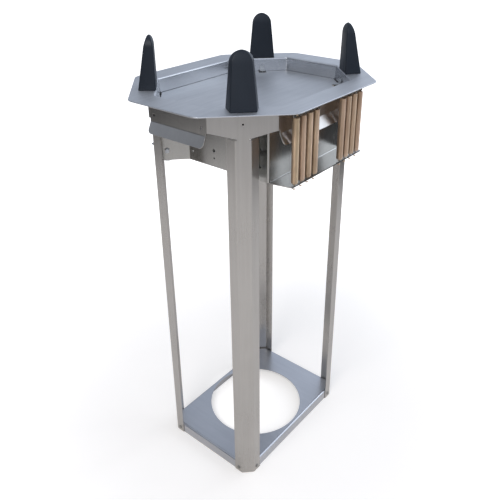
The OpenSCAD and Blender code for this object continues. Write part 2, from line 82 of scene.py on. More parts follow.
# %% [markdown]
# Shader maths reads best as plain arithmetic. A small class wraps one socket, and its operators
# add Math nodes, so a roughness can be written as 0.3 + 0.1 * grain. The other way is to place
# and link each node by hand, which takes four lines for every sum.

# %% A socket that can be added and multiplied
class Value:
    def __init__(self, finish, socket):
        self.finish, self.socket = finish, socket

    def math(self, operation, a, b):
        return self.finish.node("ShaderNodeMath", {"operation": operation}, {0: a, 1: b})

    def __add__(self, other):
        return self.math("ADD", self, other)

    def __sub__(self, other):
        return self.math("SUBTRACT", self, other)

    def __rsub__(self, other):
        return self.math("SUBTRACT", other, self)

    def __mul__(self, other):
        return self.math("MULTIPLY", self, other)

    __radd__ = __add__
    __rmul__ = __mul__


# %% [markdown]
# A finish is one material. Its node method makes any node: the settings come first, because some
# of them change which sockets exist, and then the sockets get values or links. The methods below
# it are short names for the nodes that come up most.

# %% A finish made of nodes
class Finish:
    def __init__(self, name, tree=None):
        if tree is None:
            self.material = bpy.data.materials.new(name)
            self.material.use_nodes = True
            tree = self.material.node_tree
        self.tree = tree
        self.shader = tree.nodes.get("Principled BSDF")

    def node(self, kind, settings=None, sockets=None, out=0):
        made = self.tree.nodes.new(kind)
        for key, value in (settings or {}).items():
            setattr(made, key, value)
        for key, value in (sockets or {}).items():
            self.feed(made.inputs[key], value)
        return Value(self, made.outputs[out])

    def feed(self, socket, value):
        if isinstance(value, Value):
            self.tree.links.new(value.socket, socket)
        else:
            socket.default_value = value

    def set(self, **sockets):
        for key, value in sockets.items():
            self.feed(self.shader.inputs[key.replace("_", " ")], value)

    def place(self, stretch=(1, 1, 1)):
        where = self.node("ShaderNodeTexCoord", out="Object")
        return self.node("ShaderNodeMapping", {}, {"Vector": where, "Scale": stretch})

    def noise(self, stretch, scale, detail=3.0):
        sockets = {"Vector": self.place(stretch), "Scale": scale, "Detail": detail}
        return self.node("ShaderNodeTexNoise", {}, sockets, out="Fac")

    def blend_colours(self, factor, one, two):
        one, two = (c if isinstance(c, Value) else (*c, 1) for c in (one, two))
        sockets = {0: factor, 6: one, 7: two}
        return self.node("ShaderNodeMix", {"data_type": "RGBA"}, sockets, out=2)

    def smooth(self, value, start, end, low=0.0, high=1.0):
        sockets = {"Value": value, "From Min": start, "From Max": end,
                   "To Min": low, "To Max": high}
        return self.node("ShaderNodeMapRange", {"interpolation_type": "SMOOTHSTEP"}, sockets)

    def vector(self, operation, *vectors):
        sockets = dict(enumerate(vectors))
        return self.node("ShaderNodeVectorMath", {"operation": operation}, sockets, out="Value")

    def bump(self, height, distance, strength=1.0):
        sockets = {"Height": height, "Distance": distance, "Strength": strength}
        return self.node("ShaderNodeBump", {}, sockets)


# %% [markdown]
# Sheet steel shows three things: a grain of fine lines and wider streaks left by rolling and
# brushing, broad soft patches where hands and polish changed its shine, and a colour that is
# its own reflection. The grain is noise stretched along one way, so it stays fine across and
# long along it. A level surface is brushed duller than a drawn wall, so the roughness grows with
# the upward part of the normal. An image of real scratches would show more, but noise needs no
# file and has no seam.

# %% Steel sheet
def steel(name, light, dark, grain, rough, flat=0.0):
    finish = Finish(name)
    lines = finish.noise(grain, 90.0, 4.0)
    streaks = finish.noise(grain, 12.0, 2.0)
    patches = finish.noise((1, 1, 1), 9.0, 3.0)
    cloud = 0.9 * patches + 0.55 * streaks + 0.35 * lines - 0.4
    colour = finish.blend_colours(cloud, dark, light)
    finish.set(Base_Color=colour, Metallic=1.0)
    facing = finish.node("ShaderNodeNewGeometry", out="Normal")
    up = finish.node("ShaderNodeSeparateXYZ", {}, {0: facing}, out="Z")
    level = finish.node("ShaderNodeMath", {"operation": "ABSOLUTE"}, {0: up})
    finish.set(Roughness=rough + flat * level + 0.05 * lines + 0.12 * patches - 0.065)
    finish.set(Normal=finish.bump(lines, 0.00003, 0.03))
    return finish


deck_steel = steel("deck_steel", (0.65, 0.655, 0.67), (0.44, 0.45, 0.47), (1, 14, 14), 0.18, 0.34)
post_steel = steel("frame_steel", (0.53, 0.51, 0.485), (0.41, 0.39, 0.37), (14, 14, 0.5), 0.27)
# bracket_steel is the frame steel made darker: painted shade for the brackets and rails, which
# stand in shade under the rim and the platform.
bracket_steel = steel("bracket_steel", (0.46, 0.45, 0.43), (0.38, 0.37, 0.35), (14, 14, 0.5), 0.23)
pan_steel = steel("pan_steel", (0.58, 0.585, 0.61), (0.44, 0.45, 0.48), (14, 1, 14), 0.20, 0.12)
print("steels:", [f.material.name for f in (deck_steel, post_steel, bracket_steel, pan_steel)])

# %% [markdown]
# The guides are moulded in near-black plastic. Their skin is slightly pebbled from the mould and
# scuffed by plates, so it gives a soft sheen. The rollers are nylon, off-white and a little milky.

# %% Moulded plastics
guide_plastic = Finish("guide_plastic")
pebble = guide_plastic.noise((1, 1, 1), 900.0, 2.0)
scuffs = guide_plastic.noise((1, 1, 0.3), 30.0, 3.0)
near_black = guide_plastic.blend_colours(scuffs, (0.004, 0.007, 0.012), (0.012, 0.017, 0.026))
guide_plastic.set(Base_Color=near_black)
guide_plastic.set(Roughness=0.36 + 0.16 * scuffs, Specular_IOR_Level=0.35)
guide_plastic.set(Normal=guide_plastic.bump(pebble, 0.0001, 0.35))

nylon = Finish("roller_nylon")
milk = nylon.noise((1, 1, 1), 60.0, 2.0)
nylon.set(Base_Color=nylon.blend_colours(milk, (0.78, 0.78, 0.74), (0.86, 0.86, 0.83)))
nylon.set(Roughness=0.38 + 0.1 * milk)
print("plastics:", guide_plastic.material.name, nylon.material.name)

# %% [markdown]
# Spring wire is tempered in oil, which leaves it tan brown, darker where the oil pooled, and no
# two springs have quite the same tan. The fasteners are plated with zinc, bright with small dull
# spots, and the rivets of the base are bare steel, duller than the pan around them.

# %% Wire and plating
wire = Finish("spring_wire")
pool = wire.noise((1, 1, 0.4), 55.0, 3.0)
tint = wire.noise((1, 0, 0.03), 62.0, 1.0)
oily = wire.blend_colours(tint, (0.42, 0.24, 0.17), (0.36, 0.27, 0.14))
bare = wire.blend_colours(tint, (0.90, 0.64, 0.50), (0.86, 0.70, 0.46))
wire.set(Base_Color=wire.blend_colours(pool, oily, bare))
wire.set(Metallic=0.75 + 0.2 * pool)
wire.set(Roughness=0.30 + 0.15 * pool)

zinc = Finish("fasteners")
spots = zinc.noise((1, 1, 1), 260.0, 3.0)
zinc.set(Base_Color=zinc.blend_colours(spots, (0.42, 0.43, 0.44), (0.60, 0.61, 0.62)))
zinc.set(Metallic=1.0)
zinc.set(Roughness=0.30 + 0.22 * spots)
dull = steel("rivet_steel", (0.38, 0.37, 0.35), (0.24, 0.235, 0.22), (9, 9, 9), 0.40)
print("wire and plating:", wire.material.name, zinc.material.name, dull.material.name)

# %% [markdown]
# A bent sheet could be sculpted as a solid with bevelled edges, but its thin edge leaves no room
# for the bend's radius. So each one is made as the shop makes it: a flat pattern is cut out,
# folded along a section with round bends, and only then given its thickness.

# %% Outlines with round corners
def rounded(corners, radius, steps=6):
    points = []
    for i, here in enumerate(corners):
        here = Vector(here)
        back = (Vector(corners[i - 1]) - here).normalized()
        ahead = (Vector(corners[(i + 1) % len(corners)]) - here).normalized()
        r = radius[i] if isinstance(radius, (list, tuple)) else radius
        half = back.angle(ahead) / 2
        if r <= 0 or half > 1.55:
            points.append(here)
            continue
        centre = here + (back + ahead).normalized() * r / math.sin(half)
        start = here + back * r / math.tan(half) - centre
        turn = math.pi - 2 * half
        if back.x * ahead.y - back.y * ahead.x > 0:
            turn = -turn
        for s in range(steps + 1):
            a = turn * s / steps
            c, n = math.cos(a), math.sin(a)
            points.append(centre + Vector((start.x * c - start.y * n, start.x * n + start.y * c)))
    return points


def oblong(x0, x1, y0, y1):
    return [(x0, y0), (x1, y0), (x1, y1), (x0, y1)]


def ring_of(x, y, r, count=24):
    return [Vector((x + r * math.cos(t), y + r * math.sin(t)))
            for t in (2 * math.pi * k / count for k in range(count))]


print("a rounded square has", len(rounded([(1, 1), (-1, 1), (-1, -1), (1, -1)], 0.2)), "points")


# %% [markdown]
# A section is the folded line seen from the end. Walking along it turns a place on the flat
# pattern into a place in space. The line keeps its corners' places and rounds them.

# %% A section to fold along
class Section:
    def __init__(self, corners, radius, steps=6):
        ends = [Vector(corners[0]), Vector(corners[-1])]
        middle = []
        for i in range(1, len(corners) - 1):
            arc = rounded([corners[i - 1], corners[i], corners[i + 1]], [0, radius, 0], steps)
            middle += arc[1:-1]
        apart = [p for p in middle if min((p - end).length for end in ends) > 1e-4]
        self.points = [ends[0], *apart, ends[1]]
        self.along = [0.0]
        for a, b in zip(self.points, self.points[1:]):
            self.along.append(self.along[-1] + (b - a).length)
        self.length = self.along[-1]

    def at(self, s):
        for i in range(len(self.along) - 1):
            if s <= self.along[i + 1] or i == len(self.along) - 2:
                share = (s - self.along[i]) / (self.along[i + 1] - self.along[i])
                return self.points[i].lerp(self.points[i + 1], share)

    def near(self, point):
        best = min(range(len(self.points) - 1), key=lambda i: self.gap(i, Vector(point))[0])
        return self.gap(best, Vector(point))[1]

    def gap(self, i, point):
        a, b = self.points[i], self.points[i + 1]
        share = max(0, min(1, (point - a).dot(b - a) / (b - a).length_squared))
        return (a.lerp(b, share) - point).length, self.along[i] + share * (b - a).length


angle = Section([(0, 0), (10, 0), (10, 10)], 2)
print("a folded angle of 10 and 10 mm is", round(angle.length, 2), "mm long when flat")


# %% [markdown]
# The pattern is filled between its outline and its holes, cut across wherever the section bends,
# and folded. The thickness and the softened edges are modifiers, so they stay easy to change.

# %% Fold a pattern
def pattern(loops, cuts):
    bm = bmesh.new()
    edges = []
    for loop in loops:
        ring = [bm.verts.new((p[0], p[1], 0)) for p in loop]
        edges += [bm.edges.new((ring[i - 1], ring[i])) for i in range(len(ring))]
    bmesh.ops.triangle_fill(bm, use_beauty=True, use_dissolve=False, edges=edges)
    for s in cuts:
        bmesh.ops.bisect_plane(bm, geom=bm.verts[:] + bm.edges[:] + bm.faces[:], dist=1e-4,
                               plane_co=(s, 0, 0), plane_no=(1, 0, 0))
    if not cuts:
        bmesh.ops.dissolve_limit(bm, angle_limit=0.001, verts=bm.verts, edges=bm.edges,
                                 delimit={"NORMAL"})
    return bm


def finish_mesh(bm, name, material, smooth=50):
    mesh = bpy.data.meshes.new(name)
    bm.to_mesh(mesh)
    bm.free()
    mesh.materials.append(material.material)
    mesh.shade_smooth()
    mesh.set_sharp_from_angle(angle=math.radians(smooth))
    piece = bpy.data.objects.new(name, mesh)
    bpy.context.collection.objects.link(piece)
    return piece


def fold(name, loops, section, place, material, thickness=SHEET, soft=0.25):
    bm = pattern(loops, section.along[1:-1] if section else [])
    for v in bm.verts:
        p = section.at(v.co.x) if section else None
        v.co = Vector(place(p.x, p.y, v.co.y) if section else place(v.co.x, v.co.y)) * MM
    bmesh.ops.recalc_face_normals(bm, faces=bm.faces)
    piece = finish_mesh(bm, name, material)
    thick = piece.modifiers.new("thickness", "SOLIDIFY")
    thick.thickness, thick.offset = thickness * MM, 0
    edge = piece.modifiers.new("edge", "BEVEL")
    edge.width, edge.segments = soft * MM, 2
    edge.limit_method, edge.angle_limit = "ANGLE", 1.0
    return piece


# %% [markdown]
# Pieces that belong together, such as a panel and its turned ends, are joined into one mesh
# once their thickness is real. Mirrored copies serve the other corners: a mirror turns the faces
# inside out, so they are flipped back.

# %% Join, copy and mirror
def solid(piece):
    bpy.context.view_layer.update()
    seen = piece.evaluated_get(bpy.context.evaluated_depsgraph_get())
    mesh = bpy.data.meshes.new_from_object(seen)
    mesh.transform(piece.matrix_world)
    return mesh


def join(name, pieces):
    bm = bmesh.new()
    material = pieces[0].data.materials[0]
    for piece in pieces:
        bm.from_mesh(solid(piece))
        bpy.data.objects.remove(piece)
    mesh = bpy.data.meshes.new(name)
    bm.to_mesh(mesh)
    bm.free()
    mesh.materials.append(material)
    mesh.shade_smooth()
    mesh.set_sharp_from_angle(angle=math.radians(40))
    joined = bpy.data.objects.new(name, mesh)
    bpy.context.collection.objects.link(joined)
    return joined


def mirrored(piece, name, sx, sy):
    mesh = piece.data.copy()
    mesh.transform(Matrix.Diagonal((sx, sy, 1, 1)))
    if sx * sy < 0:
        mesh.flip_normals()
    twin = bpy.data.objects.new(name, mesh)
    bpy.context.collection.objects.link(twin)
    return twin


def dress(piece, body, slot, *nodes):
    if slot != "guide_plastic":
        even = piece.modifiers.new("even", "WEIGHTED_NORMAL")
        even.keep_sharp, even.weight = True, 100
    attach(piece, body)
    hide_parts(*nodes)
    return piece


CORNERS = {"front_left": (-1, -1), "front_right": (1, -1),
           "rear_left": (-1, 1), "rear_right": (1, 1)}
print("corners:", list(CORNERS))

# %% [markdown]
# The rim is one pressed sheet. Its outer edge is a long octagon with soft corners and its throat
# is a sharper octagon, turned down with a small radius. The wall leans out a little towards the
# top, as a drawn wall does. Rings of the same number of points run round it, from the outer edge
# over the top, down the throat and back up behind the wall.

# %% The rim and its throat
def octagon(l, w, cut):
    l, w = l / 2, w / 2
    return [(l, w - cut), (l - cut, w), (-l + cut, w), (-l, w - cut),
            (-l, -w + cut), (-l + cut, -w), (l - cut, -w), (l, -w + cut)]


def grown(l, w, cut, t, r):
    return rounded(octagon(l + 2 * t, w + 2 * t, cut + (2 - math.sqrt(2)) * t), r, 6)


RIM_SIZE, RIM_ROUND = (DECK_L, DECK_W, 101.5), 22.0
THROAT_ROUND, BEND, DRAFT = 2.5, 3.0, 2.4


def rim_rings():
    edge = ((-0.9, 2.0), (-0.25, 1.75), (0, 1.1), (0, 0.8), (-0.25, 0.25), (-0.9, 0))
    rings = [(grown(*RIM_SIZE, t, RIM_ROUND + t), RIM - down) for t, down in edge]
    inner = []
    for k in range(7):
        a = math.pi / 2 * k / 6
        inner.append((DRAFT + BEND * (1 - math.sin(a)), BEND * (1 - math.cos(a))))
    inner += [(t, THROAT_DEEP - up)
              for t, up in ((0, 1.0), (0.4, 0.2), (1.0, 0), (1.6, 0.2), (2.0, 1.0))]
    for k in range(5):
        a = math.pi / 2 * k / 4
        inner.append((DRAFT + BEND - math.cos(a), BEND - math.sin(a)))
    return rings + [(grown(*THROAT, t, THROAT_ROUND + t), RIM - down) for t, down in inner]


def loft(rings, closed=True):
    bm = bmesh.new()
    loops = [[bm.verts.new((p[0] * MM, p[1] * MM, z * MM)) for p in ring] for ring, z in rings]
    for a, b in zip(loops, loops[1:] + (loops[:1] if closed else [])):
        for i in range(len(a)):
            bm.faces.new((a[i - 1], a[i], b[i], b[i - 1]))
    if not closed:
        bm.faces.new(loops[0])
        bm.faces.new(loops[-1])
    bmesh.ops.recalc_face_normals(bm, faces=bm.faces)
    return bm


rim = finish_mesh(loft(rim_rings()), "rim_sheet", deck_steel, 40)
dress(rim, "frame", "deck_steel", "deck_top")
print("rim sheet has", len(rim.data.polygons), "faces")

# %% [markdown]
# Each guide is a wedge that leads a plate down into the throat: flat towards the plates, sloping
# and narrower outside, round on top. Slices with soft corners are stacked up, and the top ones
# shrink as a ball does. Cutting the shape from a box with bevels would leave its round top flat.

# %% Plate guides
GUIDE_HIGH, GUIDE_TOP, GUIDE_FOOT = 81.0, 18.0, 24.0
GUIDE_LEAN, GUIDE_DEEP, GUIDE_THIN, GUIDE_TIP, GUIDE_TAPER = 8.0, 28.0, 12.0, 18.0, 0.8
GUIDE_MID = THROAT_OUT + 2.0 + GUIDE_DEEP / 2 + 0.3


def guide_slices():
    slices = []
    upright = [0, 0.6, 2, 6, 14, 24, 34, 44, 54, 62]
    dome = [GUIDE_HIGH - GUIDE_TOP * (1 - math.sin(math.pi / 2 * k / 12)) for k in range(13)]
    for z in upright + dome:
        share = z / GUIDE_HIGH
        wide = GUIDE_FOOT + (GUIDE_TOP - GUIDE_FOOT) * min(1, z / (GUIDE_HIGH - GUIDE_TOP))
        over = max(0, z - (GUIDE_HIGH - GUIDE_TOP))
        wide = math.sqrt(max(0.01, GUIDE_TOP ** 2 - over ** 2)) if over > 0 else wide
        deep = (GUIDE_DEEP + (GUIDE_THIN - GUIDE_DEEP) * share) / 2
        near_top = max(0, z - (GUIDE_HIGH - GUIDE_TIP)) / GUIDE_TIP
        deep *= math.sqrt(max(0.004, 1 - near_top ** 2))
        soft = 0.7 if z < 0.3 else 0
        out = GUIDE_MID - GUIDE_LEAN * share
        w, d = max(0.4, wide - soft), max(0.3, deep - soft)
        r = min(2.0, 0.9 * min(GUIDE_TAPER * wide, deep))
        box = rounded([(GUIDE_TAPER * w, d), (-GUIDE_TAPER * w, d), (-w, -d), (w, -d)], r, 6)
        slices.append(([Vector((p.x, p.y + out)) for p in box], z))
    return slices


def from_web(x, y, z):
    """The rear right corner's place for one in a post's own frame, X along its web, Y outwards."""
    side = (POST[0] - POST[1]) / math.sqrt(2)
    return ((y + x + side) / math.sqrt(2), (y - x - side) / math.sqrt(2), z)


def guide_mesh():
    turned = [([Vector(from_web(p.x, p.y, 0)[:2]) for p in ring], RIM + z)
              for ring, z in guide_slices()]
    return finish_mesh(loft(turned, closed=False), "guide_master", guide_plastic, 60)


guide_master = guide_mesh()
for corner, (sx, sy) in CORNERS.items():
    guide = mirrored(guide_master, "plate_guide_" + corner, sx, sy)
    dress(guide, "frame", "guide_plastic", "guide_" + corner)
bpy.data.objects.remove(guide_master)
print("guides stand", GUIDE_HIGH, "mm over the rim")

# %% [markdown]
# A post is one strip: a narrow web across the corner with a flange bent back on each side. At
# the top the flanges stop at a slit, and the web spreads into a gusset with turned ends. Both
# parts share the web, so one pattern is folded along two sections, one below and one above
# the slit.

# %% Corner posts
WEB_MID = WEB - SHEET / 2
WEB_HALF = POST_CUT / math.sqrt(2) - SHEET / 2 * math.tan(math.pi / 8)
FLANGE, GUSSET, WING = 17.0, 51.0, 3.2
SLIT, NECK = 678.0, 8.6
SLANT = math.sqrt(0.5)


def post_section(half, arm, radius):
    return Section([(-half - arm * SLANT, WEB_MID - arm * SLANT), (-half, WEB_MID), (half, WEB_MID),
                    (half + arm * SLANT, WEB_MID - arm * SLANT)], radius)


leg = post_section(WEB_HALF, FLANGE, 2.2)
head = post_section(GUSSET - 0.4, WING, 1.6)


def post_pattern():
    wide, wing = leg.length / 2, head.length / 2
    low, bend = RIM_UNDER - 31.5, head.near((GUSSET, WEB_MID)) - head.length / 2
    side = [(wide, 0), (wide, SLIT), (NECK + 0.9, SLIT), (NECK, SLIT + 0.9), (NECK, SLIT + 1.4),
            (NECK + 0.9, SLIT + 2.2), (bend - 2, low), (wing, low + 0.6), (wing, RIM_UNDER)]
    return side + [(-x, z) for x, z in reversed(side)]


def place_post(x, z):
    section = leg if z < SLIT + 1.1 else head
    p = section.at(x + section.length / 2)
    return from_web(p.x, p.y, z)


def folded_post():
    loops = [post_pattern(), ring_of(0, RIM_UNDER - 20.0, 1.5)]
    cuts = sorted({round(s - part.length / 2, 4) for part in (leg, head) for s in part.along[1:-1]})
    bm = pattern(loops, cuts)
    for v in bm.verts:
        v.co = Vector(place_post(v.co.x, v.co.y)) * MM
    bmesh.ops.recalc_face_normals(bm, faces=bm.faces)
    piece = finish_mesh(bm, "post_master", post_steel)
    thick = piece.modifiers.new("thickness", "SOLIDIFY")
    thick.thickness, thick.offset = SHEET * MM, 0
    return join("post_master", [piece])


post_master = folded_post()
for corner, (sx, sy) in CORNERS.items():
    post = mirrored(post_master, "corner_post_" + corner, sx, sy)
    dress(post, "frame", "frame_steel", "post_" + corner)
bpy.data.objects.remove(post_master)
print("a post's strip is", round(leg.length, 1), "mm wide when flat")

# %% [markdown]
# The skirts hang under the rim between the posts and stiffen it. Each is an upright panel whose
# lower edge is turned out into a lip with round corners. The end skirts have two screw holes.

# %% Skirts
SKIRT_AT = (POST[0] + GUSSET / math.sqrt(2), POST[1] + GUSSET / math.sqrt(2))
LIP, LIP_TURN = 19.0, math.radians(27)
SKIRT_LOW = RIM_UNDER - 36.5


def skirt(name, half, out, turn, holes):
    line = out - SHEET / 2
    lip_end = (line + LIP * math.sin(LIP_TURN), SKIRT_LOW - LIP * math.cos(LIP_TURN))
    section = Section([(line, RIM_UNDER), (line, SKIRT_LOW), lip_end], 4.0)
    outline = rounded(oblong(0, section.length, -half, half), [0, 7, 7, 0])
    loops = [outline] + [ring_of(25.0, y, 2.25) for y in holes]
    return fold(name, loops, section, lambda a, z, t: turn(a, t, z), post_steel)


end_half = SKIRT_AT[1] - GUSSET * math.sqrt(2) - 3.3
side_half = SKIRT_AT[0] - GUSSET * math.sqrt(2) - 3.3
end_holes = (8 - end_half, end_half - 8)
for name, half, out, turn, holes, node in (
        ("end_skirt_left", end_half, SKIRT_AT[0],
         lambda a, t, z: (-a, t, z), end_holes, "skirt_left"),
        ("end_skirt_right", end_half, SKIRT_AT[0],
         lambda a, t, z: (a, t, z), end_holes, "skirt_right"),
        ("side_skirt_front", side_half, SKIRT_AT[1],
         lambda a, t, z: (t, -a, z), (), "skirt_front"),
        ("side_skirt_rear", side_half, SKIRT_AT[1],
         lambda a, t, z: (t, a, z), (), "skirt_rear")):
    dress(skirt(name, half, out, turn, holes), "frame", "frame_steel", node)
print("skirts are", round(2 * end_half, 1), "and", round(2 * side_half, 1), "mm long")

# %% [markdown]
# The base pan is a tray turned upside down: a bright top with a large round hole, and four sides
# folded down between the posts' feet. The flat top and the folded sides meet where the bend
# starts, so the light runs along the bend as one line.

# %% Base pan
PAN_L, PAN_W, PAN_TOP, PAN_BEND = 297.0 - SHEET, 207.0 - SHEET, 21.0 - SHEET / 2, 3.0
PAN_CUT, PAN_HOLE = POST_CUT - 2 * SHEET + math.sqrt(2) * SHEET, 96.0


def pan():
    flat_l, flat_w = PAN_L / 2 - PAN_BEND, PAN_W / 2 - PAN_BEND
    half_l, half_w = PAN_L / 2 - PAN_CUT, PAN_W / 2 - PAN_CUT
    plate = [(flat_l, half_w), (half_l, flat_w), (-half_l, flat_w), (-flat_l, half_w),
             (-flat_l, -half_w), (-half_l, -flat_w), (half_l, -flat_w), (flat_l, -half_w)]
    parts = [fold("pan_top", [plate, ring_of(0, 0, PAN_HOLE, 96)], None,
                  lambda x, y: (x, y, PAN_TOP), pan_steel)]
    for out, half, turns in (
            (PAN_L / 2, half_w, (lambda a, z, t: (a, t, z), lambda a, z, t: (-a, t, z))),
            (PAN_W / 2, half_l, (lambda a, z, t: (t, a, z), lambda a, z, t: (t, -a, z)))):
        section = Section([(out - PAN_BEND, PAN_TOP), (out, PAN_TOP), (out, 0)], PAN_BEND)
        strip = oblong(0, section.length, -half, half)
        parts += [fold("pan_side", [strip], section, turn, pan_steel, soft=0.2) for turn in turns]
    return join("base_pan_sheet", parts)


dress(pan(), "frame", "deck_steel", "base_pan")

# %% [markdown]
# The platform is a plain octagonal plate with a notch at each cut corner. It fills the throat
# closely, since the photograph shows no dark line round it. The brackets' tabs rise through the
# notches and meet the stop clips, which keep it from leaving the throat.

# %% Platform and stop clips
NOTCH, NOTCH_IN, PLATE_GAP = 14.0, THROAT_OUT - 13.5, 0.8


def platform_outline():
    corners = []
    half_l, half_w = THROAT[0] / 2 - PLATE_GAP, THROAT[1] / 2 - PLATE_GAP
    cut = half_l + half_w - THROAT[2]
    for sx, sy in ((1, 1), (-1, 1), (-1, -1), (1, -1)):
        edge = cut / math.sqrt(2)
        half = NOTCH / 2
        notch = [from_web(x, y, 0)[:2] for x, y in
                 ((half, edge), (half, NOTCH_IN), (-half, NOTCH_IN), (-half, edge))]
        ends = [(half_l, cut - half_l), *notch, (cut - half_w, half_w)]
        ends = [(sx * x, sy * y) for x, y in ends]
        corners += ends if sx * sy > 0 else ends[::-1]
    return rounded(corners, 1.0, 3)


plate = fold("platform_sheet", [platform_outline()], None,
             lambda x, y: (x, y, PLATFORM - 1.0), deck_steel, 2.0, 0.5)
dress(plate, "carriage", "deck_steel", "platform")


def clip():
    wall, foot = THROAT_OUT - 0.6, PLATFORM + 2.9
    section = Section([(THROAT_OUT - 11.0, foot), (wall, foot), (wall, PLATFORM + 10.3)], 1.6)
    outline = rounded(oblong(0, section.length, -4, 4), 1.2, 3)
    return fold("clip", [outline], section, lambda a, z, t: from_web(t, a, z), zinc, 1.2, 0.2)


clip_master = join("clip_master", [clip()])
copies = [mirrored(clip_master, "clip", sx, sy) for sx, sy in CORNERS.values()]
clips = join("throat_stop_clips", copies)
bpy.data.objects.remove(clip_master)
dress(clips, "frame", "fasteners", "stop_clips")
print("platform and", len(CORNERS), "stop clips")

# %% [markdown]
# Under the platform, an end bracket folds out at both sides into fins that reach the posts and
# carry the rollers. It is one sheet: fin, panel, fin, with a tab on each fin and small holes.
# A sheet set behind the panel's two middle holes only for its shade keeps them dark, as they are in
# the photograph.

# %% End brackets
FOLD_Y = POST[1] - (POST[0] - END_AT)
FIN_END = WEB - SHEET - 7.0


def end_bracket():
    fin = from_web(0, FIN_END, 0)
    mid = END_AT - SHEET / 2
    shift = SHEET / 2 * math.tan(math.pi / 8)
    corner = FOLD_Y + shift
    section = Section([(fin[0], -fin[1]), (mid, -corner), (mid, corner), (fin[0], fin[1])], 2.5)
    reach = section.near(from_web(0, THROAT_OUT - 5.0, 0)[:2])
    inner = section.near(from_web(0, THROAT_OUT - 11.0, 0)[:2])
    full, fin_top = section.length, RIM - THROAT_DEEP - 4.0
    side = [(full, BRACKET_LOW), (full, fin_top), (reach, fin_top), (reach, PLATFORM + 2.0),
            (inner, PLATFORM + 2.0), (inner, BRACKET_TOP)]
    outline = side + [(full - s, z) for s, z in reversed(side)]
    middle = full / 2
    holes = [ring_of(middle, BRACKET_LOW + 28.0, 2.75), ring_of(middle, BRACKET_LOW + 15.0, 1.5)]
    holes += [ring_of(middle + k * (FOLD_Y - 8.0), BRACKET_LOW + z, 1.25)
              for k in (-1, 1) for z in (16.0, 24.0)]
    main = fold("end_sheet", [rounded(outline, 0.8, 3)] + holes, section,
                lambda a, b, z: (a, b, z), bracket_steel)
    # Shade sheet: a plain sheet close behind the holes, added only so that its shade shows dark
    # through them.
    shade_sheet_outline = rounded(oblong(-6, 6, BRACKET_LOW + 9, BRACKET_LOW + 36), 2.0, 3)
    shade_sheet = fold("end_shade_sheet", [shade_sheet_outline], None, lambda y, z: (mid - 2.8, y, z), bracket_steel)
    y = FOLD_Y - 10.0
    flange = fold("end_flange", [oblong(86.0, 99.5, -y, y)], None,
                  lambda a, b: (a, b, BRACKET_TOP - SHEET / 2), bracket_steel)
    return join("end_master", [main, flange, shade_sheet])


end_master = end_bracket()
for side, sx in (("left", -1), ("right", 1)):
    bracket = mirrored(end_master, "end_bracket_sheet_" + side, sx, 1)
    dress(bracket, "carriage", "bracket_steel", "end_bracket_" + side)
bpy.data.objects.remove(end_master)

# %% [markdown]
# The spring bracket is a tall panel whose foot is folded out into a shelf. The springs hook into
# holes along the shelf's edge. Its ends are turned in, with a slot and a round lower corner, and a
# plain strip stands close behind each slot only for its shade, so the slot shows dark.

# %% Spring brackets
SPRING_Y, SPRING_AT, PITCH, GROUP = 111.0, 150.0, 17.0, 62.5
SHELF_OUT, SHELF_RISE, RETURN_BEND = 154.0, 4.0, 2.5
spring_x = [g * GROUP + k * PITCH for g in (-1, 1) for k in (-1.5, -0.5, 0.5, 1.5)]


def spring_bracket():
    y = SPRING_Y - SHEET / 2
    end = END_AT - SHEET / 2
    top, foot_z = BRACKET_TOP - SHEET / 2, BRACKET_LOW + SHEET / 2
    shelf_end = (SHELF_OUT, foot_z + SHELF_RISE)
    section = Section([(96.5, top), (y, top), (y, foot_z), shelf_end], 2.0)
    panel_top = section.near((y, BRACKET_TOP - 2.6))
    foot = section.near((y + 2.2, foot_z + 0.2))
    wide, flange, shelf = end - RETURN_BEND, 82.0, 99.5
    side = [(0, flange), (panel_top - 1, flange), (panel_top, wide),
            (foot - 2.4, wide), (foot, shelf), (section.length, shelf)]
    outline = side + [(s, -x) for s, x in reversed(side)]
    hole_at = section.near((SPRING_AT, BRACKET_LOW + 4.0))
    holes = [ring_of(hole_at, x, 1.6, 16) for x in spring_x]
    outline = rounded(outline, [0, 0, 0, 0, 1.5, 2.5, 2.5, 1.5, 0, 0, 0, 0], 3)
    parts = [fold("panel", [outline] + holes, section, lambda a, z, t: (t, a, z), bracket_steel)]
    turned = Section([(end - RETURN_BEND, y), (end, y), (end, 80.0)], RETURN_BEND)
    length, low, high = turned.length, BRACKET_LOW, BRACKET_LOW + 90.0
    slot_at = turned.near((end, SPRING_Y - 17.0))
    slot = rounded(oblong(slot_at - 3.5, slot_at + 3.5, low + 21.5, low + 75.5), 3.49, 6)
    outline = rounded([(0, low + 1.0), (length, low), (length, high), (0, high)], [0, 12, 2, 0], 6)
    # Shade strip: a plain sheet close behind each slot, added only so that its shade shows dark
    # through it.
    strip = rounded(oblong(SPRING_Y - 25, SPRING_Y - 9, low + 14, low + 84), 2.0, 3)
    for sx in (-1, 1):
        parts.append(fold("return", [outline, slot], turned,
                          lambda a, b, z, sx=sx: (sx * a, b, z), bracket_steel))
        parts.append(fold("strip", [strip], None,
                          lambda y, z, sx=sx: (sx * (end - 2.6), y, z), bracket_steel))
    return join("spring_master", parts)


spring_master = spring_bracket()
for side, sy in (("front", -1), ("rear", 1)):
    bracket = mirrored(spring_master, "spring_bracket_sheet_" + side, 1, sy)
    dress(bracket, "carriage", "bracket_steel", "spring_bracket_" + side)
bpy.data.objects.remove(spring_master)
print("spring bracket holds", len(spring_x), "springs")

# %% [markdown]
# The springs are wound close, so at rest they look like ribbed rods. Each one is a wire that
# climbs its own thickness in each turn, with a hook at both ends.

# %% Wound springs
WIRE, COIL, TURN_STEPS, SIDES = 0.66, 4.8, 12, 6
BODY_TOP, BODY_LOW = 709.5, 608.5


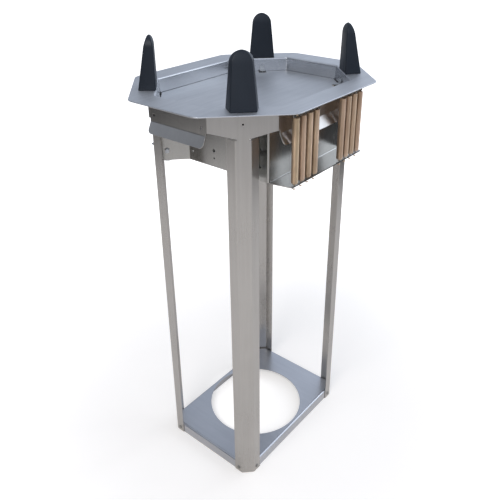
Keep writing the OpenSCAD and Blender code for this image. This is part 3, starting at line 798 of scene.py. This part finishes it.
def spring_line():
    turns = (BODY_TOP - BODY_LOW) / (2 * WIRE + 0.03)
    steps = int(turns * TURN_STEPS)
    line = []
    for k in range(9):
        a = math.radians(-210 + 30 * k)
        line.append((0, 2.4 * math.cos(a) + 0.4, 714.6 + 2.4 * math.sin(a) - 0.4))
    line.reverse()
    line.append((0.6, 1.2, BODY_TOP + 1.2))
    for s in range(steps + 1):
        a = 2 * math.pi * s / TURN_STEPS
        z = BODY_TOP + (BODY_LOW - BODY_TOP) * s / steps
        line.append((COIL * math.cos(a), COIL * math.sin(a), z))
    line.append((0.6, 0.8, BODY_LOW - 1.6))
    for k in range(9):
        a = math.radians(110 - 32 * k)
        line.append((0, 1.4 + 3.1 * math.cos(a), BODY_LOW - 7.2 + 3.6 * math.sin(a)))
    return [Vector(p) for p in line]


def wire_tube(bm, line, at, radius):
    last = None
    side = Vector((1, 0, 0))
    for i, p in enumerate(line):
        along = (line[min(i + 1, len(line) - 1)] - line[max(i - 1, 0)]).normalized()
        side = (side - along * side.dot(along)).normalized()
        third = along.cross(side)
        thick = radius if BODY_LOW - 1 < p.z < BODY_TOP + 1 else 1.4 * radius
        ring = [bm.verts.new((p + at + thick * (side * math.cos(a) + third * math.sin(a))) * MM)
                for a in (2 * math.pi * k / SIDES for k in range(SIDES))]
        if last:
            for k in range(SIDES):
                bm.faces.new((last[k - 1], last[k], ring[k], ring[k - 1]))
        else:
            bm.faces.new(ring[::-1])
        last = ring
    bm.faces.new(last)


for side, sy in (("front", -1), ("rear", 1)):
    coils = bmesh.new()
    shape = [Vector((p.x, -sy * p.y, p.z)) for p in spring_line()]
    for x in spring_x:
        wire_tube(coils, shape, Vector((x, sy * SPRING_AT, 0)), WIRE)
    bmesh.ops.recalc_face_normals(coils, faces=coils.faces)
    springs = finish_mesh(coils, "wound_springs_" + side, wire, 80)
    nodes = ["spring_%s_%d" % (side, k) for k in range(1, 9)]
    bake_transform(springs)
    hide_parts(*nodes)
    print("springs", side, len(springs.data.polygons), "faces")

# %% [markdown]
# What is left of the solids already has its real shape: rollers, bolts, nuts, rivets, screws and
# the rails. They only need their finish.

# %% Finishes of the other solids
for name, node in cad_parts.items():
    if node.hide_render:
        continue
    if name in ("roller_bolts", "roller_nuts"):
        kind = zinc
    elif name.startswith("roller_"):
        kind = nylon
    # Painted shade: the rails take the darker bracket steel because they hang in shade under the
    # rim.
    elif name.startswith("rail_"):
        kind = bracket_steel
    else:
        kind = dull if name == "base_rivets" else zinc
    node.data.materials.clear()
    node.data.materials.append(kind.material)
print("solids shown:", sorted(n for n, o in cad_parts.items() if not o.hide_render))

# %% [markdown]
# The photograph was taken on a sheet of warm paper. It lights the object from below and keeps
# its soft shadow, and it glows to white with distance for the camera alone, so the steel gets no
# more light from it. Under the pan's hole it glows more, also for the camera alone: painted light
# that hides the pan's shade on the floor there. In a mirror the sheet ends, as real paper does,
# and the floor beyond it is dark. A second floor piece could make that end, but it would have to
# hide from the camera, and a mix in one material says the same in one place.

# %% Floor
floor_mesh = bpy.data.meshes.new("floor")
floor_mesh.from_pydata([(-9, -9, 0), (9, -9, 0), (9, 9, 0), (-9, 9, 0)], [], [(0, 1, 2, 3)])
floor = bpy.data.objects.new("floor", floor_mesh)
bpy.context.collection.objects.link(floor)
paper = Finish("floor_paper")
paper.tree.nodes.remove(paper.shader)
mirrored_ray = paper.node("ShaderNodeLightPath", out="Is Glossy Ray")
camera_ray = paper.node("ShaderNodeLightPath", out="Is Camera Ray")
spot = paper.node("ShaderNodeTexCoord", out="Object")


def beyond(direction, start, end):
    """0 on the paper, 1 where it has ended in this direction."""
    return paper.smooth(paper.vector("DOT_PRODUCT", spot, direction), start, end)


left_end, right_end = beyond((-0.637, 0.771, 0), 1.7, 1.95), beyond((0.8, -0.6, 0), 1.2, 1.6)
off_paper = left_end + right_end + 0.45 * beyond((-0.77, -0.64, 0), 1.45, 2.2)
far = paper.smooth(paper.vector("LENGTH", spot), 0.25, 1.1, 0.26, 0.8)
seen_hole = (0.02, 0.015, 0)
# Painted light: a camera-only glow on the floor seen through the pan's hole, so the pan's shade
# there shows white.
painted_hole_light = paper.smooth(paper.vector("DISTANCE", spot, seen_hole), 0.085, 0.125, 0.22, 0.0)
seen = camera_ray * (far + painted_hole_light) + 0.08 * mirrored_ray
lit = paper.node("ShaderNodeBsdfDiffuse", {}, {"Color": (0.88, 0.815, 0.745, 1)})
glow = paper.node("ShaderNodeEmission", {}, {"Color": (1, 1, 1, 1), "Strength": seen})
sheet = paper.node("ShaderNodeAddShader", {}, {0: lit, 1: glow})
dark = paper.node("ShaderNodeEmission", {}, {"Color": (0.9, 0.95, 1, 1), "Strength": 0.03})
both = paper.node("ShaderNodeMixShader", {}, {0: mirrored_ray * off_paper, 1: sheet, 2: dark})
paper.feed(paper.tree.nodes["Material Output"].inputs["Surface"], both)
floor_mesh.materials.append(paper.material)
print("floor:", floor_mesh.materials[0].name)

# %% [markdown]
# The room around it is what the bright steel mirrors. Its sides are soft lobes of the world, one
# darker or brighter patch for each thing that stood there, and the camera sees plain white. Boxes
# around the object could do the same, but they would catch the lamps and need light of their own.

# %% World
world = bpy.data.worlds.new("studio")
bpy.context.scene.world = world
world.use_nodes = True
air = Finish("studio", world.node_tree)
sky = air.node("ShaderNodeTexCoord", out="Generated")


def lobe(centre, start, end):
    """1 where one looks towards centre, 0 where one looks elsewhere."""
    return air.smooth(air.vector("DOT_PRODUCT", sky, centre), start, end)


shade = lobe((-0.97, 0.22, 0.08), 0.7, 0.95)
window = lobe((0.78, -0.6, 0.18), 0.6, 0.95)
bright_wall = lobe((0.95, 0.27, 0.15), 0.6, 0.95)
back_wall = lobe((0.45, 0.87, 0.18), 0.7, 0.97)
front_wall = lobe((-0.76, -0.62, 0.1), 0.6, 0.95)
for_camera = air.node("ShaderNodeLightPath", out="Is Camera Ray")
room = 0.62 - 0.58 * shade - 0.30 * back_wall
room = room + 0.45 * bright_wall + 0.35 * front_wall + 0.6 * window
background = world.node_tree.nodes["Background"]
tinted = air.blend_colours(for_camera, (0.83, 0.92, 1.08), (1, 1, 1))
air.feed(background.inputs["Color"], tinted)
air.feed(background.inputs["Strength"], room + for_camera * (1 - room))
print("world:", world.name)

# %% [markdown]
# Two large lamps give the steel its soft sheen: a key light high on the left, as a skylight would
# be, and a weaker, cooler one on the right that reaches under the rim. Small lamps would show as
# hard spots in every bent sheet.

# %% Lamps
def lamp(name, place, aim, size, power):
    light = bpy.data.lights.new(name, "AREA")
    light.shape, light.size, light.size_y, light.energy = "RECTANGLE", size[0], size[1], power
    holder = bpy.data.objects.new(name, light)
    holder.location = place
    holder.rotation_euler = (Vector(aim) - Vector(place)).to_track_quat("-Z", "Y").to_euler()
    bpy.context.collection.objects.link(holder)
    return holder


lamp("key", (-2.2, -0.4, 2.6), (0, 0, 0.4), (1.6, 1.6), 34)
lamp("side", (2.1, -1.35, 1.75), (0, 0, 0.6), (2.0, 1.4), 12).data.color = (0.86, 0.93, 1.0)

# %% [markdown]
# The camera stands where the photograph's perspective puts it: its place, its three directions
# and its lens were solved from the edges of the rim, the base and the posts. The small shift
# keeps the whole object in the frame, as the photograph's crop does.

# %% Camera
scene = bpy.context.scene
camera = bpy.data.objects.new("camera", bpy.data.cameras.new("camera"))
scene.collection.objects.link(camera)
right = Vector((0.6372, -0.7707, -0.0092))
up = Vector((0.3483, 0.2773, 0.8954))
ahead = Vector((0.6875, 0.5737, -0.4451))
turn = Matrix((right, up, -ahead)).transposed().to_4x4()
camera.matrix_world = Matrix.Translation((-0.7457, -0.6121, 0.9657)) @ turn
FOCAL, PICTURE, SENSOR = 589.0, 500, 36.0
camera.data.sensor_width, camera.data.lens = SENSOR, FOCAL / PICTURE * SENSOR
camera.data.shift_y = -0.084
camera.data.clip_start = 0.02
scene.camera = camera
scene.view_settings.view_transform = "Standard"
print("lens:", round(camera.data.lens, 2), "mm")
